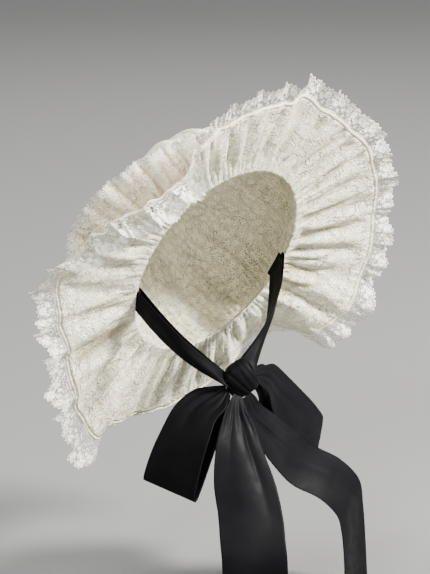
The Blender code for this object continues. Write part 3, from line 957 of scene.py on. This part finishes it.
def make_edging(material):
    """Narrow lace on the frill's edge."""
    return make_lace(
        "frill_edging_lace", edging_surface, FRILL_COLUMNS, material, cell=0.66, rows=15, pitch=9
    )


# Ribbon
def knot_point(direction, clear):
    """Points just off the knot's skin in directions from its middle."""
    direction = unit(direction)
    size = np.linalg.norm(direction / KNOT_HALF, axis=-1, keepdims=True)
    return KNOT_CENTRE + direction * (1 / size + clear)


def ribbon_object(name, grid, material):
    """Ribbon from a grid of points: rows along it and columns across."""
    length = run_length(grid[:, grid.shape[1] // 2])
    across = np.linspace(0, RIBBON_WIDTH, grid.shape[1])
    return grid_object(name, grid, across, length, False, material, RIBBON_WALL * 0.55)


def pleats(name, share, side):
    """Depth of a ribbon's soft folds at shares of its length and places across it."""
    depth = np.zeros(np.broadcast(share, side).shape)
    for row in PLEATS[name]:
        pleat = Pleat(*row)
        middle = pleat.at + pleat.drift * share / pleat.reach
        wide = pleat.width * (0.8 + 1.2 * share / pleat.reach)
        fade = ease(share * 16) * ease((pleat.reach * 1.3 - share) / pleat.reach)
        aside = np.sqrt(((side - middle) / wide) ** 2 + 0.05)
        depth = depth + pleat.depth * fade * np.exp(-aside)
    return depth


def fold_path(share):
    """Place across a ribbon folded in half: position along the fold's width and depth."""
    half = TIE_FOLD_DEPTH / 2
    swing = (share - 0.45) / 0.1 * math.pi
    along = np.minimum(share, 1 - share) / 0.45
    turn = (share > 0.45) & (share < 0.55)
    along = np.where(turn, 1 + 0.08 * np.sin(swing), along)
    return along, np.where(turn, half * np.cos(swing), np.where(share < 0.5, half, -half))


def tie_grid(tie):
    """Folded ribbon from inside the seam to the knot."""
    turn = np.linspace(0.45, 0.55, 9)[1:-1]
    along, deep = fold_path(np.concatenate([np.linspace(0, 0.45, 11), turn, np.linspace(0.55, 1, 11)]))
    angle = TIE_ANGLE + math.degrees(TIE_FOLD_WIDTH / OPEN_HALF_HEIGHT) * (along - 0.5)
    inward = deep - (GAP + RIBBON_WALL / 2 + TIE_FOLD_DEPTH / 2) - 0.1
    rows = [ring_point(angle, inward, back) for back in np.linspace(2.5, -1.5, 6)]
    spread = np.array((0.6, 0.95, 0.8)) * (0.55 - along)[:, None]
    spread = spread + np.array((-0.2, -0.4, 0.1)) * (deep / 9)[:, None]
    ends = knot_point(np.array(tie.lift) + spread, END_CLEAR + 0.1)
    sag = np.array(tie.sag)
    first, last = rows[-1].mean(axis=0), ends.mean(axis=0)
    sides = (rows[-1] - first, ends - last)
    for part in np.arange(1, TIE_STEPS + 1) / TIE_STEPS:
        middle = first * (1 - part) + last * part + sag * math.sin(math.pi * part)
        narrow = part ** 3
        rows.append(middle + sides[0] * (1 - narrow) + sides[1] * narrow)
    grid = np.array(rows)
    part = np.concatenate([np.zeros(6), np.linspace(0, 1, TIE_STEPS)])[:, None]
    ripple = 0.9 * np.sin(along * 5 + 3 * part) * np.sin(math.pi * part) ** 0.6
    ripple = ripple + 1.8 * np.sin(along * 10 + 1) * part * (1 - part)
    dent = np.exp(-(((along - 0.55) / 0.16) ** 2)) * ease((part - 0.45) * 2.2) * ease((1 - part) * 9)
    grid = grid + normals_of(grid) * (0.8 * (ripple - 1.2 * dent))[..., None]
    return grid * np.array((tie.side, 1, 1))


def read_sections(table, place):
    """Middle, direction across and width of a ribbon at places along its sections."""
    read = Section(*along_table(table, place).T[..., None])
    across = np.stack([read.across_x, read.across_y, read.across_z], axis=-1)
    return np.stack([read.x, read.y, read.z], axis=-1), unit(across), read.width


def loop_grid(name):
    """Ribbon that leaves the knot, turns at the loop's end and comes back."""
    sections = LOOPS[name]
    steps = np.arange(LOOP_STEPS + 1)
    phase = math.pi * steps[:, None] / LOOP_STEPS
    reach = np.sin(phase)
    place = (len(sections) - 1) * reach[:, 0]
    middle, across, width = read_sections(sections, place)
    along = read_sections(sections, place + 0.5)[0] - read_sections(sections, place - 0.5)[0]
    face = unit(np.cross(unit(along), across))
    side = np.linspace(-1, 1, 33)
    open_by = np.cos(phase) * (LOOP_OPEN + LOOP_FULL[name] * reach)
    soft = pleats(name, reach, side)
    crumple = 0.9 * reach * np.cos(2.4 * side + 5 * reach)
    lift = open_by - np.sign(np.cos(phase)) * (soft - 0.4 * soft.mean()) + crumple
    grid = middle + face * lift[..., None] + across * (width / 2 * side)[..., None]
    heading = middle - KNOT_CENTRE + face * open_by[..., None] + across * (side * 7.5)[..., None]
    join = ease(np.minimum(steps, LOOP_STEPS - steps) / 8)[:, None, None]
    return knot_point(heading, END_CLEAR - 0.35) * (1 - join) + grid * join


def tail_grid(name):
    """Ribbon tail through its sections, gathered at the knot."""
    sections = TAILS[name]
    place = np.linspace(0, 1, TAIL_STEPS)[:, None]
    middle, across, width = read_sections(sections, place[:, 0] * (len(sections) - 1))
    side = np.linspace(-1, 1, 37)
    grid = middle + across * (side * width / 2)[..., None]
    soft = pleats(name, place, side)
    ripple = 1.3 * ease(place * 3) * np.sin(side * 2.6 + place * 4)
    grid = grid + normals_of(grid) * (ripple - soft + 0.3 * soft.mean())[..., None]
    heading = middle[:1] - KNOT_CENTRE + across[:1] * (side * width[:1] * 0.38)[..., None]
    join = ease(place * TAIL_STEPS / 9)[..., None]
    return knot_point(heading, END_CLEAR - 0.35) * (1 - join) + grid * join


def make_knot(material):
    """Core of the knot: the gathered middle of the bow."""
    turn = np.linspace(0, math.tau, 120, endpoint=False)
    drop = np.linspace(0.02, math.pi - 0.02, 72)[:, None]
    ring = np.sin(drop)
    shape = np.stack(np.broadcast_arrays(ring * np.sin(turn), ring * np.cos(turn), np.cos(drop)), axis=-1)
    size = np.sum(np.abs(shape / (KNOT_HALF - 0.6)) ** 2.1, axis=-1) ** (-1 / 2.1)
    groove = 0.035 * np.abs(np.sin(5.5 * turn + 1.2 * drop)) ** 0.6 * ring
    points = KNOT_CENTRE + shape * (size * (1 - groove))[..., None]
    across = np.linspace(0, 90, 120, endpoint=False)
    return grid_object("bow_knot_core", points, across, np.linspace(0, 62, 72), True, material)


def make_wrap(material):
    """Band of ribbon wrapped slantwise round the knot."""
    right, up, front = view_vectors()
    tilt = math.radians(WRAP_TILT)
    wide = math.cos(tilt) * right + math.sin(tilt) * up
    ahead = math.sin(tilt) * right - math.cos(tilt) * up
    turn = np.radians(np.linspace(-150, 150, 121))[:, None]
    side = np.linspace(-1, 1, 29)
    run = np.cos(turn)[..., None] * front + np.sin(turn)[..., None] * ahead
    out = (1 - 0.2 * np.abs(side) ** 2.6) / np.linalg.norm(run / (KNOT_HALF + WRAP_LIFT), axis=-1)
    for crease in BAND_CREASES:
        aside = (side - crease.at - crease.drift * turn) / crease.width
        out = out - crease.depth * np.exp(-np.sqrt(aside ** 2 + 0.04))
    spread = WRAP_ASIDE + side * (WRAP_HALF - 1.6 * np.sin(turn))
    points = KNOT_CENTRE + spread[..., None] * wide + out[..., None] * run
    return ribbon_object("bow_knot_wrap", points, material)


# Stage
FLOOR_HALF = 9000
FLOOR_LEVEL = -350
Lamp = namedtuple("Lamp", "name place target size power colour")
LAMPS = [
    Lamp("key", (1.3, -1.9, 1.7), (0, 0, 0), 0.5, 380, (1, 0.992, 0.965)),
    Lamp("fill", (-2, -0.9, 1.7), (0, 0, 0), 0.6, 70, (0.95, 0.98, 1)),
    Lamp("front", (-0.5, -2.5, 0.1), (0, 0, 0.05), 1, 20, (1, 0.99, 0.97)),
    Lamp("top", (-0.2, 0.5, 2.3), (0, 0, 0), 1.1, 70, (1, 0.995, 0.975)),
    Lamp("rim", (1.6, 1.9, 1.3), (0, 0, 0), 1.2, 30, (1, 0.985, 0.955)),
]


def make_stage():
    """Pale floor and soft studio lights."""
    corners = np.array([(-1, -1, 0), (1, -1, 0), (1, 1, 0), (-1, 1, 0)]) * FLOOR_HALF
    floor = mesh_object("floor", corners + (0, 0, FLOOR_LEVEL), np.array([[0, 1, 2, 3]]), plain_floor())
    for lamp in LAMPS:
        data = bpy.data.lights.new(lamp.name, "AREA")
        data.size = lamp.size
        data.energy = lamp.power
        data.color = lamp.colour
        place_aimed(data, lamp.place, Vector(lamp.target) - Vector(lamp.place))
    daylight = bpy.data.lights.new("daylight", "SUN")
    daylight.energy = 1.5
    daylight.angle = math.radians(28)
    place_aimed(daylight, (0, 0, 0), (-0.45, 0.75, -1.5))
    world = bpy.data.worlds.new("studio")
    bpy.context.scene.world = world
    world.use_nodes = True
    back = world.node_tree.nodes["Background"]
    back.inputs["Color"].default_value = (0.93, 0.95, 1, 1)
    back.inputs["Strength"].default_value = 0.26


# Row for the flat size of a cloth piece in metres, before it was gathered, folded or tied; no rows are made
# here.
# The share is what is left of width times length: lace less its holes, or a round cut.
Cut = namedtuple("Cut", "name width length held rests_on share", defaults=[None])


def main():
    """Make every piece and the stage."""
    set_camera()
    make_stage()
    # The third colour of each cloth is the painted shade laid into its creases and crinkles.
    cream = jacquard(
        "cream_jacquard_cloth",
        ground=(0.69, 0.64, 0.45, 1),
        raised=(0.97, 0.94, 0.75, 1),
        painted_shade=(0.37, 0.29, 0.14, 1),
        strength=0.95,
    )
    blush = jacquard(
        "blush_cotton_cloth",
        ground=(0.9, 0.78, 0.56, 1),
        raised=(0.98, 0.92, 0.75, 1),
        painted_shade=(0.54, 0.38, 0.21, 1),
        strength=0.5,
    )
    lace = lace_thread()
    black = satin()
    pieces = [
        (make_brim(cream), "brim", "cream_jacquard"),
        (make_cord(binding()), "brim_cord", "cream_binding"),
        (make_ruffle(lace), "brim_lace", "white_lace"),
        (make_crown(cream), "crown", "cream_jacquard"),
        (make_frill(blush), "crown_frill", "blush_cotton"),
        (make_edging(lace), "crown_frill_lace", "white_lace"),
        (make_knot(black), "bow_knot", "black_satin"),
        (make_wrap(black), "bow_knot", "black_satin"),
    ]
    ribbons = [(tie.name, tie_grid(tie)) for tie in TIES]
    ribbons += [(name, loop_grid(name)) for name in LOOPS]
    ribbons += [(name, tail_grid(name)) for name in TAILS]
    for name, grid in ribbons:
        pieces.append((ribbon_object(name + "_ribbon", grid, black), name, "black_satin"))
    for piece, node, slot in pieces:
        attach(piece, "root")
        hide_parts(node)


main()
